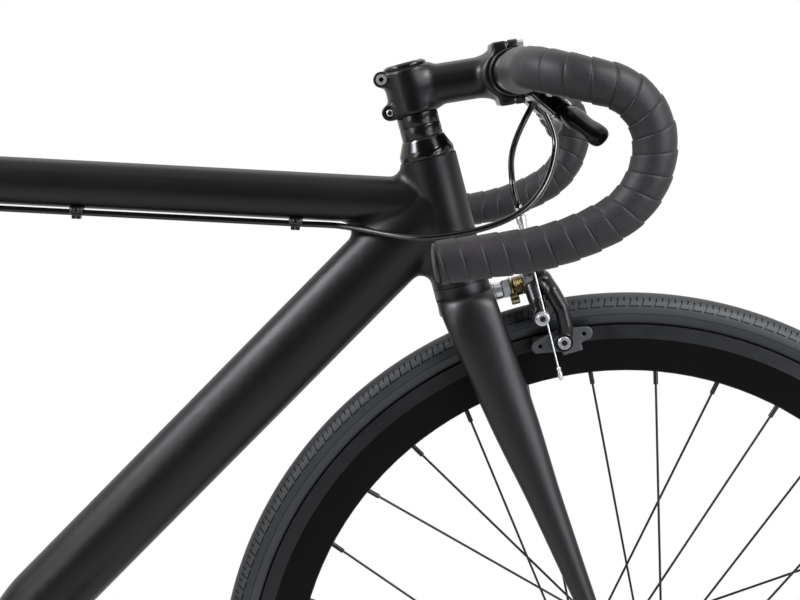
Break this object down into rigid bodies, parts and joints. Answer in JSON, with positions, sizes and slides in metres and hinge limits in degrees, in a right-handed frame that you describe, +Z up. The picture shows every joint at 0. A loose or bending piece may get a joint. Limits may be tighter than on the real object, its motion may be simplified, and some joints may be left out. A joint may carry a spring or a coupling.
{
  "type": "fixed gear bicycle",
  "caption": "Black single-speed track bicycle with drop handlebars, rim brakes front and rear, deep rims and a direct chain drive that turns the cranks with the rear wheel.",
  "frame": {"origin": "on the ground, midway between the two axles, in the wheels' middle plane", "axes": "+X forward, +Y to the rider's left, +Z up"},
  "size_m": [1.6606, 0.4188, 1.0049],
  "materials": {
    "frame_paint": "matte black paint",
    "black_alloy": "black anodised",
    "bare_steel": "bright",
    "black_steel": "black coated",
    "tyre_rubber": "matte",
    "soft_rubber": "matte",
    "bar_tape": "matte cork tape",
    "gloss_black": "gloss",
    "saddle_leather": "matte",
    "black_shell": "matte"
  },
  "bodies": {
    "frame": {"frame": "frame_paint", "headset_bearings": "bare_steel", "seat_clamp": "black_alloy", "seatpost": "black_alloy", "saddle_clamp": "black_alloy", "saddle_rails": "bare_steel", "saddle_base": "black_shell", "saddle_cover": "saddle_leather", "bottom_bracket_cups": "bare_steel", "cable_guides": "black_alloy", "rear_brake_housing": "gloss_black", "rear_brake_lead": "gloss_black", "chain": "bare_steel", "rear_axle": "bare_steel", "rear_brake_bolt": "bare_steel"},
    "steering": {"fork": "frame_paint", "headset_cover": "black_alloy", "headset_spacers": "black_alloy", "stem": "black_alloy", "stem_faceplate": "black_alloy", "stem_bolts": "bare_steel", "top_cap": "black_alloy", "handlebar": "black_alloy", "bar_tape_left": "bar_tape", "bar_tape_right": "bar_tape", "bar_end_plugs": "gloss_black", "brake_lever_bracket_left": "black_alloy", "brake_lever_bracket_right": "black_alloy", "front_brake_housing": "gloss_black", "front_brake_bolt": "bare_steel", "front_axle": "bare_steel"},
    "front_wheel": {"front_rim": "black_alloy", "front_tyre": "tyre_rubber", "front_inner_tube": "soft_rubber", "front_spokes": "black_steel", "front_hub_shell": "black_alloy"},
    "rear_wheel": {"rear_rim": "black_alloy", "rear_tyre": "tyre_rubber", "rear_inner_tube": "soft_rubber", "rear_spokes": "black_steel", "rear_hub_shell": "black_alloy", "rear_cog": "bare_steel"},
    "crankset": {"bottom_bracket_spindle": "bare_steel", "right_crank": "black_alloy", "left_crank": "black_alloy", "chainring": "black_alloy", "crank_bolts": "bare_steel", "pedal_axles": "bare_steel"},
    "right_pedal": {"right_pedal": "black_alloy"},
    "left_pedal": {"left_pedal": "black_alloy"},
    "front_brake_arm_right": {"front_brake_arm_right": "black_alloy", "front_brake_shoe_right": "soft_rubber"},
    "front_brake_arm_left": {"front_brake_arm_left": "black_alloy", "front_brake_shoe_left": "soft_rubber"},
    "rear_brake_arm_left": {"rear_brake_arm_left": "black_alloy", "rear_brake_shoe_left": "soft_rubber"},
    "rear_brake_arm_right": {"rear_brake_arm_right": "black_alloy", "rear_brake_shoe_right": "soft_rubber"},
    "brake_lever_right": {"brake_lever_right": "black_alloy"},
    "brake_lever_left": {"brake_lever_left": "black_alloy"}
  },
  "joints": [
    {"name": "steering_turn", "type": "hinge", "parent": "frame", "child": "steering", "pos_m": [0.33769, 0, 0.74164], "axis": [-0.2538, 0, 0.9673], "range_deg": [-60, 60], "deforming": ["rear_brake_lead"]},
    {"name": "front_wheel_spin", "type": "hinge", "parent": "steering", "child": "front_wheel", "pos_m": [0.48932, 0, 0.341], "axis": [0, 1, 0], "continuous": true},
    {"name": "rear_wheel_spin", "type": "hinge", "parent": "frame", "child": "rear_wheel", "pos_m": [-0.48932, 0, 0.341], "axis": [0, 1, 0], "continuous": true, "deforming": ["chain"]},
    {"name": "crank_spin", "type": "hinge", "parent": "frame", "child": "crankset", "pos_m": [-0.09068, 0, 0.286], "axis": [0, 1, 0], "continuous": true},
    {"name": "right_pedal_spin", "type": "hinge", "parent": "crankset", "child": "right_pedal", "pos_m": [0.07682, -0.1, 0.286], "axis": [0, 1, 0], "continuous": true},
    {"name": "left_pedal_spin", "type": "hinge", "parent": "crankset", "child": "left_pedal", "pos_m": [-0.25818, 0.1, 0.286], "axis": [0, 1, 0], "continuous": true},
    {"name": "right_lever_pull", "type": "hinge", "parent": "steering", "child": "brake_lever_right", "pos_m": [0.42534, -0.05, 0.83144], "axis": [-0.6388, 0, -0.7694], "range_deg": [0, 18], "stiffness_Nm_per_rad": 0.6, "springref_deg": -14.32},
    {"name": "left_lever_pull", "type": "hinge", "parent": "steering", "child": "brake_lever_left", "pos_m": [0.42534, 0.05, 0.83144], "axis": [0.6388, 0, 0.7694], "range_deg": [0, 18], "stiffness_Nm_per_rad": 0.6, "springref_deg": -14.32},
    {"name": "front_brake_right_close", "type": "hinge", "parent": "steering", "child": "front_brake_arm_right", "pos_m": [0.37765, 0, 0.68231], "axis": [0.9673, 0, 0.2538], "range_deg": [0, 1.4]},
    {"name": "front_brake_left_close", "type": "hinge", "parent": "steering", "child": "front_brake_arm_left", "pos_m": [0.37765, 0, 0.68231], "axis": [-0.9673, 0, -0.2538], "range_deg": [0, 1.4]},
    {"name": "rear_brake_left_close", "type": "hinge", "parent": "frame", "child": "rear_brake_arm_left", "pos_m": [-0.31188, 0, 0.64856], "axis": [-0.8554, 0, 0.5179], "range_deg": [0, 1.4]},
    {"name": "rear_brake_right_close", "type": "hinge", "parent": "frame", "child": "rear_brake_arm_right", "pos_m": [-0.31188, 0, 0.64856], "axis": [0.8554, 0, -0.5179], "range_deg": [0, 1.4]}
  ],
  "couplings": [
    {"joint": "crank_spin", "follows": "rear_wheel_spin", "ratio": 0.36364},
    {"joint": "front_brake_right_close", "follows": "right_lever_pull", "ratio": 0.0777},
    {"joint": "front_brake_left_close", "follows": "right_lever_pull", "ratio": 0.0777},
    {"joint": "rear_brake_left_close", "follows": "left_lever_pull", "ratio": 0.0777},
    {"joint": "rear_brake_right_close", "follows": "left_lever_pull", "ratio": 0.0777}
  ]
}
